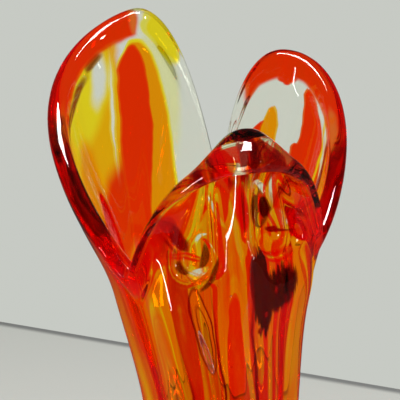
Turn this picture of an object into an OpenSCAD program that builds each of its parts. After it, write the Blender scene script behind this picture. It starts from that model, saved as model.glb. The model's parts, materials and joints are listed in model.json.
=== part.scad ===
// Hand blown, cased art glass vase with three pulled lobes.
// Frame: +Z up, origin at the centre of the ground flat under the foot, front at -Y.
// Azimuths are in degrees from the front, positive towards +X. Sizes are in millimetres.

/* [Foot] */
// Height of the solid crystal foot
foot_h = 16; // [12:1:24]
// Widest radius of the foot
foot_r = 47; // [44:1:56]
// Outer radius of the ground flat that the vase stands on
flat_r = 40; // [34:1:43]

/* [Body] */
// Radius at the middle of the wall where the body meets the foot
heel_r = 40; // [37:1:42]
// Radius at the middle of the wall at the waist
waist_r = 36; // [30:1:38]
// Radius at the middle of the wall at the shoulder, below the lobes
shoulder_r = 47; // [40:0.5:52]
// Height of the shoulder
shoulder_z = 160; // [140:1:168]
// Sideways drift of the mouth, towards -X
lean = 4; // [0:1:10]
// Twist of the flutes from lip to foot, in degrees
twist = 24; // [0:1:40]

/* [Wall] */
// Outer clear crystal, measured on a ridge
casing_t = 4; // [3.4:0.2:6]
// Layer of coloured glass
colour_t = 1.6; // [1:0.2:2.4]
// Inner clear crystal
bubble_t = 2.4; // [1.6:0.2:4]
// Crystal between the foot and the inside of the vase
floor_t = 12; // [8:1:18]
// Number of flutes left by the ribbed mould
flutes = 8; // [6:1:10]
// Depth of a flute
flute_depth = 2.4; // [0:0.2:2.8]

/* [Left lobe] */
// Azimuth of the lobe's highest point
left_azimuth = -138; // [-150:1:-110]
// Height of its lip at the middle of the wall
left_z = 293; // [230:1:330]
// Radius of its lip
left_r = 60; // [50:1:70]
// Outward tilt of its lip from upright, in degrees
left_tilt = 8; // [-10:1:60]
// How far the lobe's front edge is pulled outwards
left_bulge = 23; // [0:1:28]

/* [Front lobe] */
// Azimuth of the lobe's highest point
front_azimuth = 13; // [0:1:30]
// Height of its lip at the middle of the wall
front_z = 238; // [210:1:280]
// Radius of its lip
front_r = 72; // [55:1:78]
// Outward tilt of its lip from upright, in degrees. Beyond 90 the lip curls down
front_tilt = 150; // [0:1:155]
// How far the lobe's right edge is pushed inwards
front_tuck = 5; // [0:1:10]

/* [Right lobe] */
// Azimuth of the lobe's highest point
right_azimuth = 142; // [125:1:155]
// Height of its lip at the middle of the wall
right_z = 271; // [230:1:310]
// Radius of its lip
right_r = 60; // [50:1:70]
// Outward tilt of its lip from upright, in degrees
right_tilt = 4; // [-10:1:60]
// How far the lobe's front edge is pulled outwards
right_bulge = 14; // [0:1:20]

/* [Valleys] */
// Radius of the lip in the three valleys
valley_r = 50; // [46:1:56]
// Azimuth of the valley between the left and the front lobe
left_valley_azimuth = -60; // [-66:1:-50]
// Height of that valley
left_valley_z = 174; // [172:1:200]
// Azimuth of the valley between the front and the right lobe
right_valley_azimuth = 80; // [70:1:90]
// Height of that valley
right_valley_z = 186; // [172:1:205]
// Azimuth of the valley between the right and the left lobe
back_valley_azimuth = 168; // [160:1:180]
// Height of that valley
back_valley_z = 198; // [172:1:215]

/* [Hidden] */

valley_tilt = 14;                        // tilt of the lip in a valley
steps = 8;                               // facet columns in one flute
columns = flutes * steps;
body_rows = 7;                           // facet rows from heel to shoulder
lobe_rows = 9;                           // facet rows from shoulder to lip
last_row = body_rows + lobe_rows;
bar_row = body_rows + 2;                 // the row where the separate colour bars begin
wall = casing_t + colour_t + bubble_t;
lean_z = [95, 165];                      // heights at which the drift begins and ends
top_z = left_z;
lip_fade = 16;                           // length over which a flute runs out below the lip
ridge_azimuth = 8;                       // one flute ridge is here, at the lip
lip_angles = [45, 90, 135];              // points on the half-round lip

// Offsets from the middle of the wall, outwards, of the four glass surfaces
outer_off = wall / 2;
core_off = outer_off - casing_t;
liner_off = core_off - colour_t;
inner_off = -wall / 2;

// A valley or a lobe: [azimuth, height, radius, tilt]
back_left_valley = [back_valley_azimuth - 360, back_valley_z, valley_r, valley_tilt];
left_lobe = [left_azimuth, left_z, left_r, left_tilt];
left_valley = [left_valley_azimuth, left_valley_z, valley_r, valley_tilt];
front_lobe = [front_azimuth, front_z, front_r, front_tilt];
right_valley = [right_valley_azimuth, right_valley_z, valley_r, valley_tilt];
right_lobe = [right_azimuth, right_z, right_r, right_tilt];
back_right_valley = [back_valley_azimuth, back_valley_z, valley_r, valley_tilt];

// Each half lobe runs from its valley up to its lobe:
// [valley, lobe, bulge, roundness of the lip, pointedness of the lip]
halves = [
  [back_left_valley, left_lobe, 0, 1.1, 0], [left_valley, left_lobe, left_bulge, 1.15, 0.35],
  [left_valley, front_lobe, 0, 1.2, 0], [right_valley, front_lobe, -front_tuck, 1.35, 0],
  [right_valley, right_lobe, right_bulge, 1.25, 0], [back_right_valley, right_lobe, 0, 0.45, 0]
];

function mix(a, b, s) = a + (b - a) * s;
function smooth(s) = let (c = min(max(s, 0), 1)) c * c * (3 - 2 * c);
// An azimuth in the turn that begins and ends at the back valley
function wrapped(a) = a - 360 * ceil((a - back_valley_azimuth) / 360);

// Cubic curve through four control points, and its direction
function curve(p, s) =
  pow(1 - s, 3) * p[0] + 3 * s * pow(1 - s, 2) * p[1] + 3 * s * s * (1 - s) * p[2] + pow(s, 3) * p[3];
function slope(p, s) =
  pow(1 - s, 2) * (p[1] - p[0]) + 2 * s * (1 - s) * (p[2] - p[1]) + s * s * (p[3] - p[2]);

// The half lobe that a column belongs to, and how far the column is from valley to lobe
function half_of(a) = [for (h = halves)
  if (a >= min(h[0][0], h[1][0]) && a <= max(h[0][0], h[1][0])) h][0];
function share_of(a, h) = (a - h[0][0]) / (h[1][0] - h[0][0]);

// Columns crowd towards the valleys, so that they meet the steep edges of the lobes squarely
function spread(x) = 0.55 * x + 0.45 * x * x;
function climb(y, h) = mix(pow(y * (2 - y), h[3]), y, h[4]);

// The lip at a column: [azimuth, height, radius, tilt]
function lip_at(a) =
  let (h = half_of(a), y = spread(share_of(a, h)))
  [
    mix(h[0][0], h[1][0], y), mix(h[0][1], h[1][1], climb(y, h)),
    mix(h[0][2], h[1][2], y) + 4 * h[2] * y * (1 - y), mix(h[0][3], h[1][3], smooth(y))
  ];

// Middle of the wall in the upright plane [radius, height], from heel to shoulder and on to the lip
body_curve = [
  [heel_r, foot_h], [waist_r - 6.5, foot_h + 44],
  [waist_r + 1.5, shoulder_z - 42], [shoulder_r, shoulder_z]
];
shoulder_slope = body_curve[3] - body_curve[2];
shoulder_way = shoulder_slope / norm(shoulder_slope);
function lobe_curve(lip) =
  let (
    end = [lip[2], lip[1]], reach = norm(end - body_curve[3]),
    way = [sin(lip[3]), cos(lip[3])],
    hook = mix(0.3, 0.58, smooth((lip[3] - 60) / 80))
  )
  [body_curve[3], body_curve[3] + 0.4 * reach * shoulder_way, end - hook * reach * way, end];

// Rounded side of the foot, from the ground flat to the heel
foot_curve = [
  [flat_r, 0], [foot_r, 0], [foot_r + 1, foot_h * 0.5], [heel_r + outer_off, foot_h]
];

// Curve position of a row. Inner surfaces start above the crystal floor.
floor_s = floor_t / (3 * (body_curve[1][1] - foot_h));
function body_s(row, first) = mix(first, 1, row / body_rows);
function lobe_s(row) = (row - body_rows) / lobe_rows;

// How deep the flute is at a column and height, given the distance to the lip
function flute(a, z, to_lip) =
  let (hollow = (1 - cos(flutes * (a - ridge_azimuth))) / 2)
  flute_depth * pow(hollow, 0.8) * smooth((z - foot_h) / 30) * smooth(to_lip / lip_fade);

function lean_at(z) = -lean * smooth((z - lean_z[0]) / (lean_z[1] - lean_z[0]));
function placed(azimuth, r, z, axis_z) =
  let (turn = azimuth - 90 + twist * (1 - axis_z / top_z))
  [lean_at(axis_z) + r * cos(turn), r * sin(turn), z];

// A point of a surface that lies off the middle of the wall, by column angle and row
function wall_point(a, row, off, first = 0, fluted = false, drop = 0) =
  let (
    lip = lip_at(a),
    in_body = row <= body_rows,
    path = in_body ? body_curve : lobe_curve(lip),
    s = in_body ? body_s(row, first) : lobe_s(row),
    p = curve(path, s), d = slope(path, s),
    n = row == 0 ? [1, 0] : [d[1], -d[0]] / norm(d),
    to_lip = (in_body ? lip[1] - p[1] : norm(p - path[3])),
    azimuth = in_body ? a : mix(a, lip[0], s * s),
    depth = fluted ? flute(azimuth, p[1], to_lip) : 0,
    q = p + (off - depth) * n
  )
  placed(azimuth, q[0], q[1] - (row == 0 ? drop : 0), p[1]);

// A point on the half-round lip
function lip_point(a, angle) =
  let (
    lip = lip_at(a), path = lobe_curve(lip), d = slope(path, 1),
    way = d / norm(d), n = [way[1], -way[0]],
    q = path[3] + wall / 2 * (cos(angle) * n + sin(angle) * way)
  )
  placed(lip[0], q[0], q[1], path[3][1]);

function column_angle(j) = wrapped(ridge_azimuth + (j % columns) * 360 / columns);
function column_points(off, first, fluted, drop, from = 0, to = last_row, a) =
  [for (row = [from:to]) wall_point(a, row, off, first, fluted, drop)];
function reversed(list) = [for (i = [len(list) - 1:-1:0]) list[i]];

// Triangles between neighbouring columns of points. The first up points of a column rise and
// the others come down, and the diagonals are cut so that layers that touch match.
function strip(count, up, gaps, columns) = [
  for (j = [0:gaps - 1], i = [0:count - 2])
    let (a = j * count + i, b = (j + 1) % columns * count + i)
    each i < up - 1
      ? [[a, b + 1, a + 1], [a, b, b + 1]]
      : [[a, b, a + 1], [b, b + 1, a + 1]]
];

// A vessel: columns of points joined all round, with a fan closing each end
module vessel(lines, up) {
  count = len(lines[0]);
  points = [for (line = lines) each line];
  n = len(lines);
  first_centre = [lean_at(lines[0][0][2]), 0, lines[0][0][2]];
  last_centre = [lean_at(lines[0][count - 1][2]), 0, lines[0][count - 1][2]];
  fans = [
    for (j = [0:n - 1])
      let (k = (j + 1) % n)
      each [[n * count, k * count, j * count],
            [n * count + 1, j * count + count - 1, k * count + count - 1]]
  ];
  polyhedron(concat(points, [first_centre, last_centre]), concat(strip(count, up, n, n), fans));
}

// One bar of the coloured layer, between two places counted in flutes from the front ridge
module bar(begin, end) {
  j1 = round(begin * steps);
  j2 = round(end * steps);
  rows = last_row - bar_row + 1;
  lines = [
    for (j = [j1:j2])
      let (a = column_angle(j + 10 * columns))
      concat(
        column_points(core_off, floor_s, false, 0, bar_row, last_row, a),
        reversed(column_points(liner_off, floor_s, false, 0, bar_row, last_row, a)))
  ];
  count = 2 * rows;
  width = j2 - j1;
  points = [for (line = lines) each line];
  ends = [
    for (j = [0:width - 1])
      let (a = j * count, b = (j + 1) * count)
      each [[a + count - 1, b, a], [a + count - 1, b + count - 1, b]]
  ];
  sides = [
    for (i = [0:rows - 2])
      let (far = width * count, m = count - 1 - i)
      each [[i, i + 1, m], [i + 1, m - 1, m],
            [far + i, far + m, far + i + 1], [far + i + 1, far + m, far + m - 1]]
  ];
  polyhedron(points, concat(strip(count, rows, width, width + 1), ends, sides));
}

module foot() color("whitesmoke", 0.5)
  rotate_extrude($fn = 96)
    polygon(concat(
      [[0, 0], [flat_r, 0]],
      [for (s = [0.2:0.2:1]) curve(foot_curve, s)],
      [[0, foot_h]]));

module clear_casing() color("ghostwhite", 0.35)
  vessel([
    for (j = [0:columns - 1])
      let (a = column_angle(j))
      concat(
        column_points(outer_off, 0, true, 0, 0, last_row, a),
        [for (angle = lip_angles) lip_point(a, angle)],
        [wall_point(a, last_row, inner_off), wall_point(a, last_row, liner_off)],
        reversed(column_points(core_off, floor_s, false, colour_t + bubble_t, 0, last_row, a)))
  ], last_row + 1 + len(lip_angles) + 3);

module inner_bubble() color("aliceblue", 0.35)
  vessel([
    for (j = [0:columns - 1])
      let (a = column_angle(j))
      concat(
        column_points(liner_off, floor_s, false, bubble_t, 0, last_row, a),
        reversed(column_points(inner_off, floor_s, false, 0, 0, last_row, a)))
  ], last_row + 1);

module orange_overlay() color("orangered", 0.8)
  vessel([
    for (j = [0:columns - 1])
      let (a = column_angle(j))
      concat(
        column_points(core_off, floor_s, false, colour_t + bubble_t, 0, bar_row, a),
        reversed(column_points(liner_off, floor_s, false, bubble_t, 0, bar_row, a)))
  ], bar_row + 1);

// The bars in the lobes, counted in flutes from the ridge of the front lobe, going to the right
module clear_bar_front() color("lightyellow", 0.5) bar(-0.25, 0);
module red_bar_front_right() color("firebrick", 0.8) bar(0, 1.25);
module orange_bar_right_valley() color("darkorange", 0.8) bar(1.25, 1.75);
module red_bar_right() color("red", 0.8) bar(1.75, 2.875);
module clear_bar_right() color("aliceblue", 0.5) bar(2.875, 3.375);
module orange_bar_back() color("darkorange", 0.8) bar(3.375, 4);
module lime_bar_left() color("khaki", 0.6) bar(4, 4.625);
module red_bar_left() color("red", 0.8) bar(4.625, 5.125);
module amber_bar_left() color("gold", 0.7) bar(5.125, 6.125);
module orange_bar_left_valley() color("darkorange", 0.8) bar(6.125, 6.75);
module red_bar_front_left() color("firebrick", 0.8) bar(6.75, 7.75);

foot();
clear_casing();
inner_bubble();
orange_overlay();
amber_bar_left();
red_bar_left();
lime_bar_left();
orange_bar_left_valley();
red_bar_front_left();
clear_bar_front();
red_bar_front_right();
orange_bar_right_valley();
red_bar_right();
clear_bar_right();
orange_bar_back();
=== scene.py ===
# %% [markdown]
# # A hand blown, cased art glass vase
# The vase has three glassy layers, one inside the other. A bubble of clear crystal was picked up on
# the pipe, rolled over bars of red, orange, amber and lime glass, and cased with more crystal. It
# was then blown into a ribbed mould, which left the flutes, and the hot mouth was pulled into
# three lobes. The lesson builds the crystal as one solid, because the gathers fuse as they
# are worked, and the colour as one thin skin that floats inside its wall.

# %% Load the frame
import bpy
import bmesh
import json
import math
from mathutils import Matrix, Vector

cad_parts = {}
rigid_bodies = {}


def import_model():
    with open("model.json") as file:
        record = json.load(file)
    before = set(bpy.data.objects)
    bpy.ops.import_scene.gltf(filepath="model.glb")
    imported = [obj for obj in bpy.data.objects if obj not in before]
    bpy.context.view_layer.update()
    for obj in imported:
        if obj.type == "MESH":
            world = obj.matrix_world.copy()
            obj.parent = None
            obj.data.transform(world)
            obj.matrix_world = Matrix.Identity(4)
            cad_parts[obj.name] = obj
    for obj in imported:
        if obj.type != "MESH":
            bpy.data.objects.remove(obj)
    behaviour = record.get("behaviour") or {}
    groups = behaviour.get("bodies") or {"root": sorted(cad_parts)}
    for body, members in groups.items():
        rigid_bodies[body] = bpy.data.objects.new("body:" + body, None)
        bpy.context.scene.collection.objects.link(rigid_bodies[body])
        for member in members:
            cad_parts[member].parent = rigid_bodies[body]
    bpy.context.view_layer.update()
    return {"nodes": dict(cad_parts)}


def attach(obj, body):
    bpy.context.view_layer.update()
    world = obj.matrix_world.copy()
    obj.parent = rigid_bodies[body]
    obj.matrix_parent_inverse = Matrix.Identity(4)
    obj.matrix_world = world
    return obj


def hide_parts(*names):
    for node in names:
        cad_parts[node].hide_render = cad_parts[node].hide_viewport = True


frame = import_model()

# %% [markdown]
# ## The shape as a formula
# Blown glass has no straight edge to measure from, so the whole shape is written as one
# rule: a place on the wall has an azimuth, a row from the heel (0) to the lip (16), and a distance
# from the middle of the wall. Every layer asks the same rule for its points, so the colour
# stays inside the crystal at every place. All sizes here are in millimetres and degrees.

# %% The wall's sizes
foot_h, foot_r, flat_r = 16.0, 47.0, 40.0
heel_r, waist_r, shoulder_r, shoulder_z = 40.0, 36.0, 47.0, 160.0
lean, lean_z, twist, top_z = 4.0, (95.0, 165.0), 24.0, 293.0
casing_t, colour_t, bubble_t, floor_t = 4.0, 1.6, 2.4, 12.0
flutes, flute_depth, ridge_azimuth, lip_fade = 8, 2.4, 8.0, 16.0
body_rows, last_row = 7.0, 16.0
wall = casing_t + colour_t + bubble_t

# A valley or a lobe of the mouth: azimuth, height, radius, outward tilt of the lip
valley_r, valley_tilt = 50.0, 14.0
back_azimuth = 168.0
left_lobe, front_lobe, right_lobe = (-138, 293, 60, 8), (13, 238, 72, 150), (142, 271, 60, 4)
left_valley = (-60, 174, valley_r, valley_tilt)
right_valley = (80, 186, valley_r, valley_tilt)
back_valley = (back_azimuth, 198, valley_r, valley_tilt)
back_valley_before = (back_azimuth - 360, 198, valley_r, valley_tilt)

# Each half of a lobe: valley, lobe, sideways pull, roundness of the lip, pointedness
halves = [
    (back_valley_before, left_lobe, 0, 1.1, 0), (left_valley, left_lobe, 23, 1.15, 0.35),
    (left_valley, front_lobe, 0, 1.2, 0), (right_valley, front_lobe, -5, 1.35, 0),
    (right_valley, right_lobe, 14, 1.25, 0), (back_valley, right_lobe, 0, 0.45, 0),
]
print("wall thickness, mm:", wall, "halves of lobes:", len(halves))

# %% [markdown]
# ## Curves to draw it with
# Glass that hangs and stretches has no corners, so two kinds of curve are enough: an easing
# between two values, and a cubic curve through four control points. One cubic curve is the
# side of the body, another the side of the foot. A drawn outline could do the same, but control
# points tied to the sizes above keep the foot and the shoulder in step.

# %% Small curves that the shape is made of
def mix(a, b, s):
    return a + (b - a) * s

def smooth(s):
    s = min(max(s, 0.0), 1.0)
    return s * s * (3 - 2 * s)

def bend(points, s):
    """A cubic curve through four control points: its place and its direction."""
    a, b, c, d = (Vector(p) for p in points)
    place = a * (1 - s) ** 3 + b * 3 * s * (1 - s) ** 2 + c * 3 * s * s * (1 - s) + d * s ** 3
    way = (b - a) * (1 - s) ** 2 + (c - b) * 2 * s * (1 - s) + (d - c) * s * s
    return place, way.normalized()

body_curve = [(heel_r, foot_h), (waist_r - 6.5, foot_h + 44),
              (waist_r + 1.5, shoulder_z - 42), (shoulder_r, shoulder_z)]
foot_curve = [(flat_r, 0), (foot_r, 0), (foot_r + 1, foot_h * 0.5),
              (heel_r + wall / 2, foot_h)]
shoulder_way = bend(body_curve, 1)[1]
floor_s = floor_t / (3 * 44)
print("the body's side runs from", body_curve[0], "to", body_curve[3])

# %% [markdown]
# ## The lip
# The mouth was pulled out with tongs while hot, at three places, and sagged between them. Each
# half of a lobe goes from a valley to a top, with its own roundness. Hot glass also rounds every
# kink by itself, so the lip is worked out at many places and then relaxed with its neighbours.

# %% The lip of the mouth, all round
def lip_as_pulled(a):
    """Turn away from the column, height, radius and tilt of the lip at a column's azimuth."""
    for valley, lobe, pull, roundness, point in halves:
        share = (a - valley[0]) / (lobe[0] - valley[0])
        if 0 <= share <= 1:
            y = 0.55 * share + 0.45 * share * share
            return Vector((
                mix(valley[0], lobe[0], y) - a,
                mix(valley[1], lobe[1], mix((y * (2 - y)) ** roundness, y, point)),
                mix(valley[2], lobe[2], y) + 4 * pull * y * (1 - y),
                mix(valley[3], lobe[3], smooth(y))))

lip_steps = 720
reach = 9
pulled = [lip_as_pulled(back_azimuth - 360 + (k + 0.5) * 360 / lip_steps) for k in range(lip_steps)]
weights = [math.exp(-2 * (d / reach) ** 2) for d in range(-reach, reach + 1)]
relaxed = [
    [sum(w * pulled[(k + d) % lip_steps][part] for w, d in zip(weights, range(-reach, reach + 1)))
     / sum(weights) for part in range(4)]
    for k in range(lip_steps)]
print("lip heights, mm:", round(min(p[1] for p in relaxed)), "to", round(max(p[1] for p in relaxed)))

def lip_at(a):
    k = (a - back_azimuth + 360) / 360 * lip_steps - 0.5
    low = math.floor(k)
    near, far = relaxed[low % lip_steps], relaxed[(low + 1) % lip_steps]
    return [mix(x, y, k - low) for x, y in zip(near, far)]

def lobe_curve(lip):
    end = Vector((lip[2], lip[1]))
    start = Vector(body_curve[3])
    span = (end - start).length
    tilt = math.radians(lip[3])
    out = Vector((math.sin(tilt), math.cos(tilt)))
    hook = 0.3 + 0.28 * smooth((lip[3] - 60) / 80)
    return [start, start + 0.4 * span * shoulder_way, end - hook * span * out, end]

# %% [markdown]
# ## Turned and hung in place
# A ribbed mould leaves straight flutes, and turning the pipe twists them, so each azimuth turns
# on its way down. The mouth also leans a little to one side. Both are applied last, to the
# finished point, so the rest of the rules can think of a straight vase.

# %% Twist and lean
def drift(z):
    return -lean * smooth((z - lean_z[0]) / (lean_z[1] - lean_z[0]))

def placed(azimuth, r, z, at_z):
    turn = math.radians(azimuth - 90 + twist * (1 - at_z / top_z))
    return Vector((drift(at_z) + r * math.cos(turn), r * math.sin(turn), z)) / 1000

print("the mouth leans by, mm:", round(drift(top_z), 1))

# %% [markdown]
# ## Hollows left by the tongs
# The tongs that curled the front lobe pressed two hollows into it. Each has a steep ledge at its
# lower edge, where the soft glass piled up, and fades out upwards. The whole wall is pushed in, so
# that the colour inside it bends with it. A sculpted displacement could do it, but a rule moves both
# skins by the same amount.

# %% The tool's hollows
def scoop(azimuth, z, middle, half, low, high, curl, ledge, depth):
    """A hollow whose steep lower edge, the ledge, curls up at its ends."""
    across = (azimuth - middle) / half
    low += curl * across * across
    return depth * smooth(2 - 2 * abs(across)) * smooth((z - low) / ledge) * smooth((high - z) / 22)

def dent(azimuth, to_lip, z):
    """How far the whole wall was pushed in, in mm, by the tool that curled the front lobe."""
    if not -60 < azimuth < 75 or to_lip < 12:
        return 0.0
    away = smooth((to_lip - 12) / 12)
    left = scoop(azimuth, z, -17, 15, 174, 234, 7, 6, 7.0)
    right = scoop(azimuth, z, 31, 22, 184, 240, 6, 10, 7.0)
    return away * (left + right)

print("deepest hollow, mm:", round(dent(-17, 50, 205), 1))

# %% [markdown]
# ## A point anywhere in the wall
# This is the rule that all layers ask. Rows 0 to 7 climb the body and rows 7 to 16 climb the lobe
# above it. Close to the lip the wall swells into a bead, because the fire draws thin glass together.

# %% The wall's rule
bead_swell, bead_reach = 0.22, 14.0

def wall_point(a, row, side, first=0.0, flute=0.0, angle=None):
    """side runs from 1, the outer skin, to -1, the inner skin."""
    lip = lip_at(a)
    in_body = row <= body_rows
    if in_body:
        place, way = bend(body_curve, mix(first, 1, row / body_rows))
        azimuth, to_lip = a, lip[1] - place[1]
    else:
        s = (row - body_rows) / (last_row - body_rows)
        path = lobe_curve(lip)
        place, way = bend(path, s)
        azimuth, to_lip = a + lip[0] * s * s, (place - path[3]).length
    bead = 1 + bead_swell * smooth(1 - to_lip / bead_reach)
    normal = Vector((way[1], -way[0]))
    off = side * wall / 2 * bead
    place = place - dent(azimuth, to_lip, place[1]) * normal
    if angle is None:
        hollow = ((1 - math.cos(math.radians(flutes * (azimuth - ridge_azimuth)))) / 2) ** 0.8
        onset = smooth((to_lip - 8) / 8) if flute < 0 else smooth(to_lip / lip_fade)
        off -= flute * hollow * smooth((place[1] - foot_h) / 30) * onset
        spot = place + off * normal
    else:
        turn = math.radians(angle)
        spot = place + wall / 2 * bead * (math.cos(turn) * normal + math.sin(turn) * way)
    return placed(azimuth, spot[0], spot[1], place[1]), azimuth, to_lip

print("outer skin at the waist, front, m:", [round(v, 4) for v in wall_point(0, 3, 1)[0]])

# %% [markdown]
# ## Sheets
# A sheet starts as a flat grid from bmesh. One side of the grid becomes the way round
# the vase and the other the way along a profile, and a formula moves each corner to its place.
# Before the seam is merged, every corner of every face notes its azimuth and its distance from the
# lip in two UV maps, so the colours can follow the glass.

# %% Make a closed skin from a profile
def skin(name, profile, columns):
    """profile is a list of functions of the azimuth that give a point, an azimuth and a distance
    from the lip."""
    mesh = bpy.data.meshes.new(name)
    bm = bmesh.new()
    rows = len(profile) - 1
    bmesh.ops.create_grid(bm, x_segments=columns, y_segments=rows, size=0.5)
    around = bm.loops.layers.uv.new("around")
    depth = bm.loops.layers.uv.new("depth")
    notes = {}
    for v in bm.verts:
        j, k = round((v.co.x + 0.5) * columns), round((v.co.y + 0.5) * rows)
        a = back_azimuth - 360 + j * 360 / columns
        point, azimuth, to_lip = profile[k](a if 0 < j < columns else back_azimuth - 360)
        shift = 360 if j == columns else 0
        notes[v] = ((azimuth + shift) / 360, k / rows, to_lip / 100, point.z * 10)
        v.co = point
    for face in bm.faces:
        for corner in face.loops:
            n = notes[corner.vert]
            corner[around].uv = n[:2]
            corner[depth].uv = n[2:]
    bmesh.ops.remove_doubles(bm, verts=bm.verts, dist=1e-6)
    for face in bm.faces:
        face.smooth = True
    if bm.calc_volume(signed=True) < 0:
        bmesh.ops.reverse_faces(bm, faces=bm.faces)
    print(name, "faces:", len(bm.faces), "open edges:", sum(e.is_boundary for e in bm.edges))
    bm.to_mesh(mesh)
    bm.free()
    piece = bpy.data.objects.new(name, mesh)
    bpy.context.scene.collection.objects.link(piece)
    return piece

def spaced(start, end, count):
    return [mix(start, end, k / count) for k in range(count + 1)]

print("a sheet of rows is spaced like", spaced(0, 1, 4))

# %% [markdown]
# ## The crystal
# The crystal is three gathers on the real vase, but fused glass has no faces between its layers,
# so one closed solid shows what the eye sees. The profile runs under the foot, up the
# fluted outside, over the fire polished lip, down the inside and across the floor. Faces between
# the layers would each bend the light once more and show as ghost edges.

# %% The crystal's profile
columns = 240
first_row = 0.35
inner_flute = -1.9
far_from_lip = 300.0

def under(r, z):
    return lambda a: (placed(a, r, z, 0.0), a, far_from_lip)

def on_wall(row, side, first=0.0, flute=0.0, angle=None):
    return lambda a: wall_point(a, row, side, first, flute, angle)

def on_floor(share):
    """The inside floor, a shallow dish."""
    def point(a):
        edge, azimuth, to_lip = wall_point(a, first_row, -1, floor_s)
        middle = Vector((0, 0, (foot_h + floor_t) / 1000))
        turn = math.radians(90 * share)
        spot = middle + (edge - middle) * math.cos(turn)
        spot.z = mix(edge.z, middle.z, math.sin(turn))
        return spot, azimuth, to_lip
    return point

crystal_profile = (
    [under(r, 0) for r in (0, 14, 28, flat_r)]
    + [(lambda a, s=s: (placed(a, *bend(foot_curve, s)[0], 0.0), a, far_from_lip))
       for s in spaced(0.12, 1, 8)]
    + [on_wall(row, 1, 0, flute_depth) for row in spaced(0.12, last_row, 92)]
    + [on_wall(last_row, 1, angle=angle) for angle in spaced(15, 165, 10)]
    + [on_wall(row, -1, floor_s, inner_flute) for row in spaced(last_row, first_row, 84)]
    + [on_floor(share) for share in spaced(0.15, 1, 6)])
crystal = skin("crystal", crystal_profile, columns)
print("rows in the crystal:", len(crystal_profile))

# %% [markdown]
# ## Air in the glass
# Where two folds of hot glass close on each other they trap air. A trapped pocket is a second,
# closed skin inside the crystal, and its faces look into the pocket, because that
# is the way out of the glass. Each pocket starts as a small sphere that is stretched to lie
# along the wall. A bump in the material could not show one, because light has to go in and out.

# %% Find a place on the wall
def row_of(z):
    """The row of the body whose middle is at this height."""
    low, high = 0.0, body_rows
    for _ in range(30):
        half = (low + high) / 2
        low, high = (half, high) if bend(body_curve, half / body_rows)[0].y < z else (low, half)
    return low

def column_of(azimuth, row):
    """The column that passes an azimuth at a row."""
    a = azimuth
    for _ in range(25):
        a -= 0.7 * (wall_point(a, row, 0)[1] - azimuth)
    return a

print("a height of 141 mm is row", round(row_of(141), 2))

# %% [markdown]
# ## Blow a pocket
# The sphere's own sides are measured in millimetres on the glass: east is round the vase and north
# is up it. Its faces are turned inwards at the end, towards the air.

# %% Blow a pocket of air into the wall
def pocket(bm, azimuth, row, side, wide, tall, thick, swing=0.0, taper=0.0, detail=3):
    """wide, tall and thick are half sizes in mm, swing turns the pocket, taper narrows its top."""
    start = column_of(azimuth, row)
    middle = wall_point(start, row, side)[0]
    east = (wall_point(start + 0.5, row, side)[0] - wall_point(start - 0.5, row, side)[0])
    north = (wall_point(start, row + 0.05, side)[0] - wall_point(start, row - 0.05, side)[0])
    deg_per_mm, row_per_mm = 1 / (east.length * 1000), 0.1 / (north.length * 1000)
    made = bmesh.ops.create_icosphere(bm, subdivisions=detail, radius=1)
    turn = math.radians(swing)
    for v in made["verts"]:
        x, y, z = v.co
        x *= wide * (1 - taper * y)
        y *= tall
        e = x * math.cos(turn) - y * math.sin(turn)
        n = x * math.sin(turn) + y * math.cos(turn)
        here = (start + e * deg_per_mm, row + n * row_per_mm)
        skin_point = wall_point(*here, side)[0]
        outer_point = wall_point(*here, side + 0.25)[0]
        v.co = skin_point + (outer_point - skin_point).normalized() * z * thick / 1000
    faces = {f for v in made["verts"] for f in v.link_faces}
    for face in faces:
        face.smooth = True
    bmesh.ops.recalc_face_normals(bm, faces=list(faces))
    bmesh.ops.reverse_faces(bm, faces=list(faces))
    print("pocket at azimuth", round(azimuth), "faces:", len(faces))

# %% [markdown]
# ## A tear and some seeds
# One long tear hangs below the curl. Seeds, tiny bubbles that every melt holds, are spread by
# sines of their number, which look random and come out the same each time.

# %% One long tear below the curl, and seeds all over
bm = bmesh.new()
bm.from_mesh(crystal.data)
before = len(bm.faces)
pocket(bm, -18, row_of(141), 0.6, 1.6, 12, 0.5, swing=8, taper=0.25)
seeds = 26
for k in range(seeds):
    spread = [math.sin(k * 12.9), math.sin(k * 78.2 + 1), math.sin(k * 37.7 + 2)]
    size = 0.35 + 0.3 * abs(spread[2])
    pocket(bm, 150 * spread[0], 4.5 + 4.0 * spread[1], 0.4, size, size, size, detail=2)
print("faces in the pockets:", len(bm.faces) - before)
bm.to_mesh(crystal.data)
bm.free()

# %% [markdown]
# ## The colour
# The bars of coloured glass melt into one skin, a millimetre and a half thick. At the lip
# the hot skin draws up into a fat cord, which is why the rim looks redder than the wall. The skin's
# profile is like the crystal's, closer to the middle of the wall. Separate bars would need hard
# borders, and the real borders are soft, so the bars become masks in the skin's material.

# %% The colour's profile
cord_r, cord_reach = 3.7, 12.0
closer_out = 2.2

def colour_point(row, face):
    """face is 1 on the casing's side of the skin and -1 on the inner bubble's side."""
    def point(a):
        middle = bubble_t + colour_t / 2 - wall / 2
        to_lip = wall_point(a, row, 0, floor_s)[2]
        middle += closer_out * smooth(1.6 - to_lip / 50)
        fat = smooth(1 - to_lip / cord_reach)
        half = mix(colour_t / 2, cord_r, fat)
        bead = 1 + bead_swell * smooth(1 - to_lip / bead_reach)
        side = (mix(middle, 0, fat) + face * half) / (wall / 2 * bead)
        return wall_point(a, row, side, floor_s)
    return point

def colour_lip(angle):
    def point(a):
        spot = wall_point(a, last_row, 0, floor_s)[0]
        edge, azimuth, to_lip = wall_point(a, last_row, 0, floor_s, angle=angle)
        return spot + (edge - spot) * cord_r / (wall / 2 * (1 + bead_swell)), azimuth, to_lip
    return point

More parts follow.
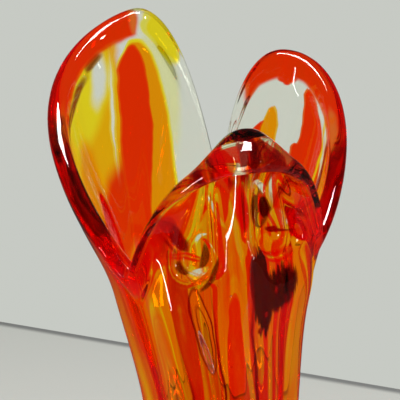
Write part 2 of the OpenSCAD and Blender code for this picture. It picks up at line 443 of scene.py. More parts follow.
def colour_floor(share, face, drop):
    def point(a):
        edge, azimuth, to_lip = colour_point(first_row, face)(a)
        middle = Vector((0, 0, (foot_h + floor_t - drop) / 1000))
        turn = math.radians(90 * share)
        spot = middle + (edge - middle) * math.cos(turn)
        spot.z = mix(edge.z, middle.z, math.sin(turn))
        return spot, azimuth, to_lip
    return point

colour_profile = (
    [colour_floor(share, 1, colour_t + bubble_t) for share in spaced(1, 0.15, 4)]
    + [colour_point(row, 1) for row in spaced(first_row, last_row, 86)]
    + [colour_lip(angle) for angle in spaced(22, 158, 6)]
    + [colour_point(row, -1) for row in spaced(last_row, first_row, 86)]
    + [colour_floor(share, -1, bubble_t) for share in spaced(0.15, 1, 4)])
colour = skin("colour_skin", colour_profile, columns)
print("rows in the colour:", len(colour_profile))

# %% [markdown]
# ## Helpers for node trees
# A material is a tree of small nodes. These helpers make a node, feed its sockets and do a sum, so
# that the recipes below read like arithmetic. The same trees can be wired by hand in the editor.

# %% Node helpers
def new_material(name):
    m = bpy.data.materials.new(name)
    m.use_nodes = True
    return m, m.node_tree, m.node_tree.nodes["Principled BSDF"]

def put(tree, kind, **values):
    n = tree.nodes.new(kind)
    for key, value in values.items():
        setattr(n, key, value)
    return n

def feed(tree, target, value):
    """Give a socket a plain value or the output of another node."""
    if isinstance(value, bpy.types.NodeSocket):
        tree.links.new(value, target)
    else:
        target.default_value = value

def sums(tree, operation, *values, clamp=False):
    n = put(tree, "ShaderNodeMath", operation=operation, use_clamp=clamp)
    for socket, value in zip(n.inputs, values):
        feed(tree, socket, value)
    return n.outputs[0]

def eased(tree, value, start, end, low=0.0, high=1.0):
    n = put(tree, "ShaderNodeMapRange", interpolation_type="SMOOTHSTEP")
    for socket, v in zip(n.inputs, (value, start, end, low, high)):
        feed(tree, socket, v)
    return n.outputs[0]

def blend(tree, mask, under, over):
    n = put(tree, "ShaderNodeMix", data_type="RGBA")
    feed(tree, n.inputs[0], mask)
    feed(tree, n.inputs[6], under)
    feed(tree, n.inputs[7], over)
    return n.outputs[2]

def new_group(name, inputs, outputs):
    tree = bpy.data.node_groups.new(name, "ShaderNodeTree")
    for label, kind, value in inputs:
        socket = tree.interface.new_socket(label, in_out="INPUT", socket_type=kind)
        if value is not None:
            socket.default_value = value
    for label, kind in outputs:
        tree.interface.new_socket(label, in_out="OUTPUT", socket_type=kind)
    return tree, tree.nodes.new("NodeGroupInput"), tree.nodes.new("NodeGroupOutput")

def far_from_middle(tree, x, y):
    """The length of (x, y)."""
    squares = sums(tree, "ADD", sums(tree, "MULTIPLY", x, x), sums(tree, "MULTIPLY", y, y))
    return sums(tree, "SQRT", squares)

def use(tree, group, *values):
    """Place a group in a tree and give its inputs their values."""
    n = put(tree, "ShaderNodeGroup", node_tree=group)
    for socket, value in zip(n.inputs, values):
        feed(tree, socket, value)
    return n.outputs[0]

number = "NodeSocketFloat"
print("materials before the first one:", len(bpy.data.materials))

# %% [markdown]
# ## A pool of colour
# A bar that lay flat and melted spreads into an oval. The group measures how far a place is from
# the oval's middle, in azimuth and in distance from the lip, and gives a mask with a soft edge.
# As a group it can be laid down thirty times, each with its own place and size.

# %% A group for a pool of colour: an oval in azimuth and distance from the lip
pool, ins, outs = new_group(
    "pool of colour",
    [("Azimuth", number, 0), ("Depth", number, 0), ("Middle azimuth", number, 0),
     ("Middle depth", number, 0), ("Half width", number, 5), ("Half depth", number, 5),
     ("Slant", number, 0), ("Softness", number, 0.3)],
    [("Mask", number)])
down = sums(pool, "SUBTRACT", ins.outputs["Depth"], ins.outputs["Middle depth"])
across = sums(pool, "SUBTRACT", ins.outputs["Azimuth"], ins.outputs["Middle azimuth"])
across = sums(pool, "SUBTRACT", across, sums(pool, "MULTIPLY", down, ins.outputs["Slant"]))
x = sums(pool, "DIVIDE", across, ins.outputs["Half width"])
y = sums(pool, "DIVIDE", down, ins.outputs["Half depth"])
r = far_from_middle(pool, x, y)
inner = sums(pool, "SUBTRACT", 1.0, ins.outputs["Softness"])
outer = sums(pool, "ADD", 1.0, ins.outputs["Softness"])
feed(pool, outs.inputs["Mask"], eased(pool, r, inner, outer, 1.0, 0.0))
print(pool.name, "nodes:", len(pool.nodes))

# %% [markdown]
# ## A tongue of colour
# A bar that was pulled up with its lobe ends in a rounded tip and widens downwards, not
# always evenly. The group gives each side its own width and length.

# %% A group for a tongue of colour that widens downwards from its tip
tongue, ins, outs = new_group(
    "tongue of colour",
    [("Azimuth", number, 0), ("Depth", number, 0), ("Tip azimuth", number, 0),
     ("Tip depth", number, 0), ("Minus width", number, 5), ("Minus length", number, 20),
     ("Plus width", number, 5), ("Plus length", number, 20), ("Softness", number, 0.1)],
    [("Mask", number)])
down = sums(tongue, "SUBTRACT", ins.outputs["Depth"], ins.outputs["Tip depth"])
down = sums(tongue, "MAXIMUM", down, 0.0)
across = sums(tongue, "SUBTRACT", ins.outputs["Azimuth"], ins.outputs["Tip azimuth"])
softness = ins.outputs["Softness"]

def side_mask(sign, width, length):
    share = sums(tongue, "MINIMUM", sums(tongue, "DIVIDE", down, length), 1.0)
    reach_here = sums(tongue, "MULTIPLY", width, sums(tongue, "POWER", share, 0.6))
    here = sums(tongue, "MULTIPLY", across, sign)
    gap = sums(tongue, "DIVIDE", sums(tongue, "SUBTRACT", here, reach_here), width)
    return eased(tongue, gap, sums(tongue, "MULTIPLY", softness, -1.0), softness, 1.0, 0.0)

plus = side_mask(1.0, ins.outputs["Plus width"], ins.outputs["Plus length"])
minus = side_mask(-1.0, ins.outputs["Minus width"], ins.outputs["Minus length"])
begun = eased(tongue, down, 0.0, 1.5)
both = sums(tongue, "MULTIPLY", plus, minus)
feed(tongue, outs.inputs["Mask"], sums(tongue, "MULTIPLY", both, begun))
print(tongue.name, "nodes:", len(tongue.nodes))

# %% [markdown]
# ## A stroke of colour
# Where the tool wound and folded the glass, the colour lies in short bent strokes. The group is an
# oval that can be turned by an angle and bent, placed by azimuth and height.

# %% A group for one stroke of colour laid on the hot glass
stroke, ins, outs = new_group(
    "stroke of colour",
    [("Azimuth", number, 0), ("Height", number, 0), ("Middle azimuth", number, 0),
     ("Middle height", number, 0), ("Half length", number, 8), ("Half width", number, 2),
     ("Rise", number, 0), ("Bend", number, 0), ("Softness", number, 0.25)],
    [("Mask", number)])
x = sums(stroke, "SUBTRACT", ins.outputs["Azimuth"], ins.outputs["Middle azimuth"])
y = sums(stroke, "SUBTRACT", ins.outputs["Height"], ins.outputs["Middle height"])
rise = sums(stroke, "RADIANS", ins.outputs["Rise"])
rise_cos, rise_sin = sums(stroke, "COSINE", rise), sums(stroke, "SINE", rise)
x_cos, x_sin = sums(stroke, "MULTIPLY", x, rise_cos), sums(stroke, "MULTIPLY", x, rise_sin)
y_cos, y_sin = sums(stroke, "MULTIPLY", y, rise_cos), sums(stroke, "MULTIPLY", y, rise_sin)
u, v = sums(stroke, "ADD", x_cos, y_sin), sums(stroke, "SUBTRACT", y_cos, x_sin)
sag = sums(stroke, "MULTIPLY", ins.outputs["Bend"], sums(stroke, "MULTIPLY", u, u))
v = sums(stroke, "SUBTRACT", v, sag)
u = sums(stroke, "DIVIDE", u, ins.outputs["Half length"])
v = sums(stroke, "DIVIDE", v, ins.outputs["Half width"])
r = far_from_middle(stroke, u, v)
inner = sums(stroke, "SUBTRACT", 1.0, ins.outputs["Softness"])
outer = sums(stroke, "ADD", 1.0, ins.outputs["Softness"])
feed(stroke, outs.inputs["Mask"], eased(stroke, r, inner, outer, 1.0, 0.0))
print(stroke.name, "nodes:", len(stroke.nodes))

# %% [markdown]
# ## Drawn streaks
# Colour that was stretched as the vase grew runs in long thin streaks. The group is a noise
# that is fine round the vase and slow up it. It reads the azimuth as a place on a circle, so there
# is no seam.

# %% A group for drawn streaks
streaks, ins, outs = new_group(
    "drawn streaks",
    [("Azimuth", number, 0), ("Height", number, 0), ("Narrow", number, 8), ("Long", number, 1),
     ("Seed", number, 0), ("Low", number, 0.4), ("High", number, 0.6)],
    [("Mask", number)])
turn = sums(streaks, "RADIANS", ins.outputs["Azimuth"])
spot = put(streaks, "ShaderNodeCombineXYZ")
for socket, part in zip(spot.inputs, ("COSINE", "SINE")):
    on_circle = sums(streaks, "MULTIPLY", sums(streaks, part, turn), ins.outputs["Narrow"])
    feed(streaks, socket, on_circle)
slow = sums(streaks, "MULTIPLY", ins.outputs["Long"], 0.01)
climb = sums(streaks, "MULTIPLY", ins.outputs["Height"], slow)
feed(streaks, spot.inputs[2], sums(streaks, "ADD", climb, ins.outputs["Seed"]))
cloud = put(streaks, "ShaderNodeTexNoise")
cloud.inputs["Scale"].default_value = 1.0
cloud.inputs["Detail"].default_value = 3.0
feed(streaks, cloud.inputs["Vector"], spot.outputs[0])
streak = eased(streaks, cloud.outputs["Fac"], ins.outputs["Low"], ins.outputs["High"])
feed(streaks, outs.inputs["Mask"], streak)
print(streaks.name, "nodes:", len(streaks.nodes))

# %% [markdown]
# ## The colours of the glass
# Coloured glass takes light away, so each colour here is the share of red, green and blue light
# that one wall lets through. Two walls one behind the other multiply, which is why an orange
# vase looks red where it is deep.

# %% The colours of the glass
orange = (1.0, 0.36, 0.003, 1)
golden = (1.0, 0.62, 0.012, 1)
red = (1.0, 0.035, 0.001, 1)
ruby = (0.95, 0.04, 0.001, 1)
vermilion = (1.0, 0.14, 0.001, 1)
maroon = (0.1, 0.008, 0.001, 1)
amber = (1.0, 0.52, 0.005, 1)
yellow = (1.0, 0.82, 0.02, 1)
lime = (0.9, 0.9, 0.5, 1)
# The brown is brown glass, and painted shade where it marks dark bands and the shadows of the swirl.
brown_and_painted_shade = (0.3, 0.09, 0.008, 1)
rust = (0.93, 0.42, 0.008, 1)
wine = (0.38, 0.01, 0.001, 1)
# The pale is pale glass where a window is clear, and mostly a painted highlight in the strokes.
pale_glass_and_highlight = (0.94, 0.94, 0.78, 1)
clear = (0.87, 0.88, 0.82, 1)
print("two orange walls let through:", [round(v * v, 3) for v in orange[:3]])

# %% [markdown]
# ## The cased colour
# Light goes from crystal into the coloured skin without bending, because both are nearly the same
# glass. So the skin is full transmission with an index of refraction of 1: it tints, and nothing
# else. A volume could do it too, but would be noisy and slow.

# %% The material and its maps
tint, tree, shader = new_material("cased colour")
colour.data.materials.append(tint)
shader.inputs["Transmission Weight"].default_value = 1.0
shader.inputs["IOR"].default_value = 1.0
shader.inputs["Roughness"].default_value = 0.0

def read_map(tree, name):
    uv = put(tree, "ShaderNodeUVMap", uv_map=name)
    parts = put(tree, "ShaderNodeSeparateXYZ")
    tree.links.new(uv.outputs[0], parts.inputs[0])
    return parts.outputs[0], parts.outputs[1]

around, along = read_map(tree, "around")
lip_way, height = read_map(tree, "depth")
azimuth = sums(tree, "MULTIPLY", around, 360.0)
depth = sums(tree, "MULTIPLY", lip_way, 100.0)
height = sums(tree, "MULTIPLY", height, 100.0)
print("maps on the skin:", [layer.name for layer in colour.data.uv_layers])

# %% [markdown]
# ## Borders that sway
# Hot colour never runs quite straight. A slow noise pushes the azimuth and the distance from the
# lip about, so that every mask that reads them gets a wavering border.

# %% Swaying azimuth and depth
sway = put(tree, "ShaderNodeTexNoise")
place = put(tree, "ShaderNodeTexCoord")
tree.links.new(place.outputs["Object"], sway.inputs["Vector"])
sway.inputs["Scale"].default_value = 45.0
sway.inputs["Detail"].default_value = 2.0
swing = put(tree, "ShaderNodeSeparateColor")
tree.links.new(sway.outputs["Color"], swing.inputs[0])

def swung(value, channel, amount):
    push = sums(tree, "SUBTRACT", swing.outputs[channel], 0.5)
    return sums(tree, "ADD", value, sums(tree, "MULTIPLY", push, amount))

azimuth_s = swung(azimuth, 0, 5.0)
depth_s = swung(depth, 1, 8.0)
height_s = swung(height, 2, 3.0)
print("nodes so far:", len(tree.nodes))

# %% [markdown]
# ## Laying one colour over another
# Each of these takes the colour so far and a new colour, and lays the new one over the old inside
# one group's mask. The recipe is then a list of layers, from the first to the last.

# %% Layers of colour

def streak_mask(narrow, long, seed, low, high):
    return use(tree, streaks, azimuth_s, height, narrow, long, seed, low, high)

def with_pool(under, over, middle, half, slant=0.0, softness=0.12):
    mask = use(tree, pool, azimuth_s, depth_s, *middle, *half, slant, softness)
    return blend(tree, mask, under, over)

def with_tongue(under, over, tip, minus, plus, softness=0.05):
    mask = use(tree, tongue, azimuth_s, depth_s, *tip, *minus, *plus, softness)
    return blend(tree, mask, under, over)

def stroke_mask(place, size, rise=0.0, bend_by=0.0, softness=0.1):
    return use(tree, stroke, azimuth_s, height_s, *place, *size, rise, bend_by, softness)

def with_stroke(under, over, place, size, rise=0.0, bend_by=0.0, softness=0.1):
    return blend(tree, stroke_mask(place, size, rise, bend_by, softness), under, over)

print("kinds of layer: streaks, pool, tongue, stroke")

# %% [markdown]
# ## The body
# Orange glass with golden and vermilion streaks. The colour is deeper in the hollow of a
# flute, where two ridges push it together, and lighter on the ridges, where it is stretched.

# %% The body's streaks and flutes
body = blend(tree, streak_mask(9, 0.8, 0.0, 0.42, 0.62), orange, golden)
body = blend(tree, streak_mask(13, 1.2, 7.3, 0.52, 0.68), body, vermilion)
from_ridge = sums(tree, "SUBTRACT", azimuth, ridge_azimuth)
from_ridge = sums(tree, "MULTIPLY", from_ridge, float(flutes))
hollow = sums(tree, "COSINE", sums(tree, "RADIANS", from_ridge))
body = blend(tree, eased(tree, hollow, -0.85, -1.0, 0.0, 0.6), body, vermilion)
body = blend(tree, eased(tree, hollow, 0.85, 1.0, 0.0, 0.5), body, golden)
print("nodes with the body:", len(tree.nodes))

# %% [markdown]
# ## The left lobe
# The tallest lobe shows its bars best: an amber pool, a lime wedge and a red tongue with orange
# and yellow sides, with clear crystal between them and the rim.

# %% The left lobe's bars
c = body
c = with_pool(c, clear, (-158, 10), (26, 75), 0.0, 0.06)
c = with_pool(c, lime, (-154, 22), (11, 24), -0.1, 0.3)
c = with_pool(c, amber, (-117, 42), (16, 46), 0.0, 0.08)
c = with_pool(c, yellow, (-117, 22), (13, 18), 0.0, 0.3)
c = with_pool(c, clear, (-124, 20), (3.5, 11), 0.0, 0.4)
c = with_pool(c, ruby, (-122, 90), (25, 24), 0.0, 0.25)
# This brown band below the rim is painted shade, where the wall turns edge on and looks dark.
c = with_pool(c, brown_and_painted_shade, (-103, 13), (15, 3.6), 0.0, 0.25)
c = with_pool(c, brown_and_painted_shade, (-122, 10), (4, 2.4), 0.0, 0.3)
c = with_pool(c, maroon, (-91, 24), (3.4, 18), 0.0, 0.3)
c = with_pool(c, orange, (-106, 62), (10, 30), 0.1, 0.2)
c = with_pool(c, ruby, (-98, 75), (2.0, 22), 0.1, 0.4)
# This thin pale line down the amber is a painted highlight.
c = with_pool(c, pale_glass_and_highlight, (-129, 42), (0.9, 26), 0.02, 0.4)
c = with_tongue(c, yellow, (-139, 9), (32, 52), (6.8, 10))
c = with_tongue(c, orange, (-139, 11), (29.5, 52), (7, 10))
c = with_tongue(c, red, (-138, 12), (11, 38), (6, 10))
print("nodes with the left lobe:", len(tree.nodes))

# %% [markdown]
# ## The right lobe
# Mostly clear, with a red tongue, a small orange block and a red cap that dips to a point where two
# bars met. A thin golden line and a dark one run down its outer edge.

# %% The right lobe's bars
c = with_pool(c, clear, (140, 10), (30, 62), 0.0, 0.12)
c = with_tongue(c, red, (150, 28), (7, 8), (8, 3))
c = with_tongue(c, orange, (145, 23), (4.5, 12), (3.5, 12))
c = with_tongue(c, red, (130, 39), (2.5, 6), (2.5, 6))
c = with_tongue(c, red, (127, 8), (18, 22), (3, 6))
c = with_pool(c, red, (139, 8.5), (4.5, 3.4), 0.0, 0.15)
c = with_pool(c, red, (139, 10), (2.2, 3.6), 0.0, 0.2)
c = with_pool(c, golden, (114, 34), (1.3, 28), 0.0, 0.2)
c = with_pool(c, wine, (108, 28), (1.6, 24), 0.0, 0.2)
print("nodes with the right lobe:", len(tree.nodes))

# %% [markdown]
# ## The front lobe
# The lobe was rolled outwards, so its streaks lie across the roll, red and wine with some orange.

# %% The front lobe's roll
roll = blend(tree, streak_mask(16, 0.5, 5.2, 0.42, 0.5), red, wine)
roll = blend(tree, streak_mask(14, 0.5, 9.4, 0.52, 0.58), roll, orange)
c = blend(tree, use(tree, pool, azimuth, depth_s, 10, 0, 48, 23, 0.0, 0.12), c, roll)
print("nodes with the roll:", len(tree.nodes))

# %% [markdown]
# ## The dome and the swirl
# Left of the middle the tool pressed the glass into a golden dome and wound the colour at its lower
# end into a swirl. The swirl is a few strokes that follow each other round: dark, pale, red, pale.
# The dark ones are painted shadow and the pale ones painted highlights, and a pale arc over the dome
# is a painted highlight too.

# %% The dome and the swirl
c = with_stroke(c, golden, (-14, 206), (18, 21), 0, 0, 0.1)
c = with_stroke(c, yellow, (-25, 203), (14, 1.1), 76, 0.02, 0.4)
c = with_stroke(c, orange, (-8, 198), (9, 18), 0, 0, 0.3)
c = with_stroke(c, wine, (-30, 200), (12, 5), -65, 0, 0.15)
c = with_stroke(c, golden, (-30, 194), (10, 0.8), -61, 0.02, 0.3)
c = with_stroke(c, red, (-24, 187), (9, 2.0), -10, 0.0, 0.3)
c = with_stroke(c, orange, (-24, 187), (8, 0.6), -10, 0.0, 0.3)
# From here the pale strokes are painted highlights, the arc over the dome and the glints in the
# swirl, and the brown strokes are painted shadow in the swirl.
c = with_stroke(c, pale_glass_and_highlight, (-6, 227.5), (12, 1.8), -8, -0.05, 0.2)
c = with_stroke(c, pale_glass_and_highlight, (-5, 210), (8.5, 1.5), -55, 0.0, 0.2)
c = with_stroke(c, brown_and_painted_shade, (-14, 187), (6.5, 2.4), 70, 0.04, 0.2)
c = with_stroke(c, pale_glass_and_highlight, (-17.5, 196.5), (5, 1.0), 45, -0.1, 0.2)
c = with_stroke(c, red, (-12, 194), (3.4, 1.1), -50, -0.08, 0.2)
c = with_stroke(c, pale_glass_and_highlight, (-6, 186), (8.5, 0.7), 95, 0.06, 0.25)
c = with_stroke(c, brown_and_painted_shade, (-9, 178.5), (9.5, 1.4), 53, 0.025, 0.2)
c = with_stroke(c, pale_glass_and_highlight, (-19, 179), (7.5, 2.0), 15, 0.02, 0.15)
c = with_stroke(c, yellow, (-20, 173.5), (10, 0.8), 12, 0.025, 0.3)
c = with_stroke(c, brown_and_painted_shade, (-28, 181), (4.2, 1.4), -55, 0.1, 0.2)
c = with_stroke(c, pale_glass_and_highlight, (-33, 183), (1.0, 0.9), 0, 0, 0.3)
c = with_stroke(c, yellow, (-42, 182), (3, 4.5), 20, 0, 0.4)
print("nodes with the swirl:", len(tree.nodes))

# %% [markdown]
# ## The rib and the windows
# A red rib stands between the two hollows, and the pale and golden strokes down it are a painted
# highlight. Above it, clear glass was folded into the roll and shows as pale windows, partly painted
# highlight, and the pale lines along the roll are painted highlights.

# %% The middle rib and the windows
c = with_stroke(c, red, (9, 213), (12, 2.8), 92, 0, 0.15)
# The pale and golden strokes down the rib are a painted highlight.
c = with_stroke(c, pale_glass_and_highlight, (6, 199), (19, 1.5), -82, 0.0, 0.2)
c = with_stroke(c, golden, (11, 165), (22, 1.6), -84, 0.0, 0.3)
c = with_stroke(c, wine, (19, 236), (8, 5), -60, 0, 0.12)
c = with_stroke(c, wine, (35, 236), (7, 5), -50, 0, 0.12)
# The pale pool is a clear window that is partly a painted highlight, and the two pale strokes after
# it are painted highlights.
c = with_pool(c, pale_glass_and_highlight, (5.5, 10), (4.2, 11), 0.0, 0.08)
c = with_stroke(c, pale_glass_and_highlight, (25, 238), (12, 2.0), -47, -0.01, 0.12)
c = with_stroke(c, pale_glass_and_highlight, (37, 214), (13, 2.2), -83, 0.0, 0.12)
c = with_stroke(c, red, (47, 216), (12, 6), 80, 0, 0.15)
c = with_stroke(c, rust, (45, 214), (10, 3.6), 82, 0, 0.2)
print("nodes with the windows:", len(tree.nodes))

# %% [markdown]
# ## The pocket
# Right of the rib the pocket is painted dark brown and maroon, with a small orange eye in it. Along
# its lower edge a golden bowl, a pale crescent and pale streaks are painted highlights, where light
# comes in.

# %% The pocket, its eye and its lower edge
c = with_stroke(c, brown_and_painted_shade, (26, 210), (13, 10), 0, 0, 0.1)
c = with_stroke(c, red, (30, 210), (5, 6), 0, 0, 0.3)
c = with_stroke(c, maroon, (16, 209), (6, 1.6), 88, 0, 0.3)
c = with_stroke(c, maroon, (33, 209), (6, 5), 0, 0, 0.15)
# The pale crescent, the golden bowl and the pale streaks below are painted highlights along the
# pocket's lower edge.
c = with_stroke(c, pale_glass_and_highlight, (31, 219.5), (13, 1.8), -38, -0.023, 0.12)
c = with_stroke(c, golden, (25, 218), (2.6, 2.0), 0, 0, 0.3)
c = with_stroke(c, yellow, (25.7, 204), (2.4, 3.3), 0, 0, 0.12)
c = with_stroke(c, orange, (25.7, 204), (1.8, 2.6), 0, 0, 0.12)
c = with_stroke(c, pale_glass_and_highlight, (41, 203), (3.6, 5.0), 0, 0, 0.12)
c = with_stroke(c, wine, (41, 197.5), (9, 1.5), -3, 0.01, 0.2)
c = with_stroke(c, golden, (36, 191.5), (15, 4.8), -4, 0.006, 0.08)
c = with_stroke(c, pale_glass_and_highlight, (50, 200.5), (8, 3.0), 12, 0.0, 0.12)
c = with_stroke(c, red, (32, 187), (12, 0.9), 0, 0.02, 0.2)
c = with_stroke(c, yellow, (32, 185.4), (10, 0.6), 0, 0.02, 0.3)
c = with_stroke(c, red, (32, 184), (10, 0.8), 0, 0.02, 0.2)
print("nodes with the pocket:", len(tree.nodes))

# %% [markdown]
# ## The dark patch
# Below the pocket several layers of red lie on each other. The patch is ragged towards the foot,
# so its height is pushed about by fine streaks before the strokes read it.

# %% The dark patch
teeth = sums(tree, "MULTIPLY", streak_mask(40, 1.5, 4.4, 0.3, 0.7), 7.0)
ragged = sums(tree, "SUBTRACT", height_s, teeth)
for place_at, size, rise in (((19, 166), (22, 7), 98), ((32, 167), (14, 10), 15)):
    patch = use(tree, stroke, azimuth_s, ragged, *place_at, *size, rise, 0.0, 0.06)
    c = blend(tree, patch, c, maroon)
for place_at in ((22, 158), (29, 170), (36, 165), (18, 150)):
    c = with_stroke(c, wine, place_at, (1.3, 1.7), 0, 0, 0.3)
print("nodes with the dark patch:", len(tree.nodes))

# %% [markdown]
# ## The drawn tear
# Below the swirl a drop of colour ran down and drew out into a long tear, one outline inside
# another, round the tear of trapped air. The wine outlines are painted shade, the dark rim that the
# edge of trapped air shows.

# %% A tear drawn down below the swirl
# The wine outlines are painted shade round the trapped air.
c = with_stroke(c, wine, (-18, 151), (23, 6.2), 97, 0, 0.06)
c = with_stroke(c, orange, (-18, 151), (21.5, 5.2), 97, 0, 0.06)
c = with_stroke(c, wine, (-17.5, 148), (17, 3.4), 97, 0, 0.1)
c = with_stroke(c, rust, (-17.5, 148), (16, 2.7), 97, 0, 0.1)
print("nodes with the tear:", len(tree.nodes))

# %% [markdown]
# ## Lines down the body
# Where two bars touch, a line of the darker one runs down the flutes. At the left the bars
# parted and a golden band shows.

# %% Darker and lighter lines down the body
for middle, half in ((-58, 1.6), (-45, 1.3), (-33, 1.0), (-9, 1.0), (14, 1.2)):
    c = with_pool(c, wine, (middle, 135), (half, 70), 0.02, 0.4)
c = with_pool(c, golden, (-80, 140), (6.5, 75), 0.0, 0.3)
c = with_pool(c, yellow, (-82, 130), (3, 60), 0.0, 0.5)
c = with_pool(c, ruby, (-69, 140), (2.2, 75), 0.0, 0.4)
print("nodes with the lines:", len(tree.nodes))

# %% [markdown]
# ## The cord along the lip
# The fat cord at the lip is red, except where clear or yellow glass reached the edge. It is laid
# on last, because it covers the ends of all the bars.

# %% The cord along the lip
cord = blend(tree, streak_mask(10, 0.6, 3.1, 0.45, 0.6), red, ruby)
on_lip = eased(tree, depth_s, 7.0, 10.0, 1.0, 0.0)
bare = use(tree, pool, azimuth, depth, -158, 0, 20, 30, 0.0, 0.05)
on_lip = sums(tree, "MULTIPLY", on_lip, sums(tree, "SUBTRACT", 1.0, bare))
rolled = use(tree, pool, azimuth, depth, 10, 0, 45, 30, 0.0, 0.3)
rolled = sums(tree, "MULTIPLY", rolled, 0.9)
on_lip = sums(tree, "MULTIPLY", on_lip, sums(tree, "SUBTRACT", 1.0, rolled))
c = blend(tree, on_lip, c, cord)
c = with_pool(c, clear, (172, 8), (14, 28), 0.0, 0.08)
c = with_pool(c, clear, (-188, 8), (14, 28), 0.0, 0.08)
c = with_pool(c, yellow, (-152, 2), (10, 7), 0.0, 0.08)
feed(tree, shader.inputs["Base Color"], c)
print("nodes in", tint.name, "in all:", len(tree.nodes))

# %% [markdown]
# ## Fire polished crystal
# The crystal is full transmission with the index of lead free crystal, 1.5. The fire leaves it
# smooth, and the faint straw clouds in the melt keep it from looking like plastic.

# %% Fire polished crystal
glass, tree, shader = new_material("fire polished crystal")
crystal.data.materials.append(glass)
shader.inputs["Transmission Weight"].default_value = 1.0
shader.inputs["IOR"].default_value = 1.5
shader.inputs["Specular IOR Level"].default_value = 0.3
place = put(tree, "ShaderNodeTexCoord")
parts = put(tree, "ShaderNodeSeparateXYZ")
tree.links.new(place.outputs["Object"], parts.inputs[0])

# %% [markdown]
# ## Faint clouds in the melt
# Hand made crystal has a trace of straw yellow that is not even. A slow noise between two nearly
# white colours gives it.

# %% Faint straw clouds in the melt
melt = put(tree, "ShaderNodeTexNoise")
tree.links.new(place.outputs["Object"], melt.inputs["Vector"])
melt.inputs["Scale"].default_value = 18.0
melt.inputs["Detail"].default_value = 2.0
clouds = eased(tree, melt.outputs["Fac"], 0.35, 0.65)
feed(tree, shader.inputs["Base Color"],
     blend(tree, clouds, (1, 1, 1, 1), (0.985, 0.99, 0.965, 1)))
print("nodes in", glass.name, "so far:", len(tree.nodes))

# %% [markdown]
# ## The ground flat and the soft cords
# The foot was ground flat on a wheel so that it stands firm, and is left matt. The rest keeps
# very soft cords, thin veins where the melt cooled unevenly, which bend a reflection a little.
# They are far too shallow to model, so a bump does them.

# %% Ground below, corded above
ground = eased(tree, parts.outputs[2], 0.0004, 0.0001)
grain = put(tree, "ShaderNodeTexNoise")
tree.links.new(place.outputs["Object"], grain.inputs["Vector"])
grain.inputs["Scale"].default_value = 900.0
feed(tree, shader.inputs["Roughness"],
     sums(tree, "MULTIPLY", ground, sums(tree, "MULTIPLY_ADD", grain.outputs["Fac"], 0.3, 0.25)))

stretch = put(tree, "ShaderNodeMapping")
tree.links.new(place.outputs["Object"], stretch.inputs["Vector"])
stretch.inputs["Scale"].default_value = (55, 55, 14)
cords = put(tree, "ShaderNodeTexNoise")
tree.links.new(stretch.outputs[0], cords.inputs["Vector"])
cords.inputs["Scale"].default_value = 1.0
cords.inputs["Detail"].default_value = 1.0
ripple = put(tree, "ShaderNodeBump")
tree.links.new(cords.outputs["Fac"], ripple.inputs["Height"])
ripple.inputs["Strength"].default_value = 0.25
ripple.inputs["Distance"].default_value = 0.002
tree.links.new(ripple.outputs[0], shader.inputs["Normal"])
print("nodes in", glass.name, "in all:", len(tree.nodes))

# %% [markdown]
# ## Into the frame
# Both pieces are on the one body of the vase, and the parts of the plan that they stand for are
# hidden.
# The crystal casts no shadow of its own, which makes its clear foot a little lighter than it would
# be. The coloured skin still casts one.

# %% Place the pieces in the frame
colour_nodes = [n for n in frame["nodes"] if "bar" in n or n == "orange_overlay"]
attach(crystal, "root")
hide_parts("foot", "clear_casing", "inner_bubble")
crystal.visible_shadow = False
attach(colour, "root")
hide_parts(*colour_nodes)
print("the colour stands for", len(colour_nodes), "nodes")

# %% [markdown]
# ## The room
# Glass shows its surroundings more than itself. A room that is bright behind and above and dimmer
# behind the viewer gives the thick edges their dark lines. Seen straight, the wall is one
# even tone, and its mirror image on the glass is kept faint so the reds stay pure.

# %% The studio's walls
def mirror_share(tree):
    """1 for rays that bounced off a gloss, 0 for those that passed through glass."""
    paths = put(tree, "ShaderNodeLightPath")
    passed = sums(tree, "SUBTRACT", 1.0, paths.outputs["Is Transmission Ray"])
    return sums(tree, "MULTIPLY", paths.outputs["Is Glossy Ray"], passed), paths

world = bpy.data.worlds.new("studio")
bpy.context.scene.world = world
world.use_nodes = True
tree = world.node_tree
sky = tree.nodes["Background"]
place = put(tree, "ShaderNodeTexCoord")
parts = put(tree, "ShaderNodeSeparateXYZ")
tree.links.new(place.outputs["Generated"], parts.inputs[0])
tone = eased(tree, parts.outputs[1], -0.7, 0.3, 0.34, 1.22)
tone = sums(tree, "MAXIMUM", tone, eased(tree, parts.outputs[2], 0.3, 0.8, 0.0, 1.3))
mirrored, paths = mirror_share(tree)
kept = sums(tree, "SUBTRACT", 1.0, sums(tree, "MULTIPLY", mirrored, 0.95))
tone = sums(tree, "MULTIPLY", tone, kept)
seen = put(tree, "ShaderNodeMix")
feed(tree, seen.inputs[0], paths.outputs["Is Camera Ray"])
feed(tree, seen.inputs[2], tone)
seen.inputs[3].default_value = 1.0
tone = seen.outputs[0]
sky.inputs[0].default_value = (0.57, 0.59, 0.55, 1)
feed(tree, sky.inputs[1], tone)
print("wall colour:", [round(v, 2) for v in sky.inputs[0].default_value[:3]])

# %% [markdown]
# ## The table
# A plain pale slab, turned a little, with a darker band along its far edge. Its top lies a hair
# below the foot, because with both faces in the same place the clear foot comes out black.

# %% The table
slab, table_turn = (1.6, 0.5, 0.03), -30
bm = bmesh.new()
bmesh.ops.create_cube(bm, size=1)
bmesh.ops.scale(bm, vec=slab, verts=bm.verts)
bmesh.ops.translate(bm, vec=(0, 0.10, -0.0152), verts=bm.verts)
table_mesh = bpy.data.meshes.new("table")
bm.to_mesh(table_mesh)
bm.free()
table = bpy.data.objects.new("table", table_mesh)
table.rotation_euler.z = math.radians(table_turn)
bpy.context.scene.collection.objects.link(table)
print("table, m:", slab)

# %% [markdown]
# ## The table's paint
# Matt and pale, with its darker band blended in by place, so that the glass bends a clean line.

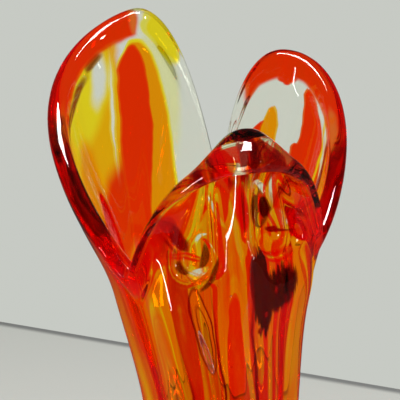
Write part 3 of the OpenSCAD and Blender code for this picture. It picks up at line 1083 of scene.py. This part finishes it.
# %% The table's paint
m, tree, shader = new_material("table top")
place = put(tree, "ShaderNodeTexCoord")
parts = put(tree, "ShaderNodeSeparateXYZ")
tree.links.new(place.outputs["Object"], parts.inputs[0])
edge = eased(tree, parts.outputs[1], 0.337, 0.346)
# For mirror rays the table is painted nearly black, a painted darkening that keeps its reflection
# off the glass.
mirrored, paths = mirror_share(tree)
top = blend(tree, edge, (0.52, 0.52, 0.50, 1), (0.2, 0.2, 0.2, 1))
faint = sums(tree, "MULTIPLY", mirrored, 0.9)
feed(tree, shader.inputs["Base Color"], blend(tree, faint, top, (0.01, 0.01, 0.01, 1)))
table_mesh.materials.append(m)
print("nodes in", m.name + ":", len(tree.nodes))

# %% [markdown]
# ## The lamps
# Four soft boxes: one overhead for the tops of the folds, two low strips that draw the long
# highlights down the sides, and one window for the small square glints.

# %% The lamps
def softbox(name, place, aim, size, strength):
    light = bpy.data.lights.new(name, "AREA")
    light.shape = "RECTANGLE"
    light.size, light.size_y = size
    light.energy = strength * size[0] * size[1] * math.pi
    lamp = bpy.data.objects.new(name, light)
    lamp.location = place
    lamp.rotation_euler = (Vector(aim) - Vector(place)).to_track_quat("-Z", "Y").to_euler()
    bpy.context.scene.collection.objects.link(lamp)
    return lamp

centre = (0, 0, 0.2)
softbox("overhead", (-0.05, -0.35, 1.2), centre, (0.45, 0.26), 30)
softbox("left strip", (-0.62, -0.82, -0.2), (0, 0, 0.12), (0.06, 0.55), 26)
softbox("right strip", (0.95, -0.35, -0.2), (0, 0, 0.12), (0.05, 0.55), 20)
softbox("window", (0.9, -1.1, 0.7), centre, (0.16, 0.26), 45)
print("lamps:", [lamp.name for lamp in bpy.data.lights])

# %% [markdown]
# ## The camera
# It looks down a little, at the upper part of the vase. Light that crosses many faces of
# glass needs many bounces, or the deep folds turn black.

# %% Camera
camera_data = bpy.data.cameras.new("camera")
camera = bpy.data.objects.new("camera", camera_data)
bpy.context.scene.collection.objects.link(camera)
bpy.context.scene.camera = camera
elevation, distance = math.radians(12), 0.9
target = Vector((0, 0, 0.205))
camera.location = target + Vector((0, -math.cos(elevation), math.sin(elevation))) * distance
camera.rotation_euler = (math.radians(90) - elevation, 0, 0)
camera_data.sensor_width = 36
camera_data.lens = 162
camera_data.shift_x = -0.0525
camera_data.shift_y = 0.005
camera_data.clip_start = 0.01

scene = bpy.context.scene
scene.cycles.max_bounces = 96
scene.cycles.transmission_bounces = 96
scene.cycles.glossy_bounces = 96
scene.cycles.transparent_max_bounces = 40
scene.view_settings.view_transform = "Standard"
print("camera at", [round(v, 3) for v in camera.location])
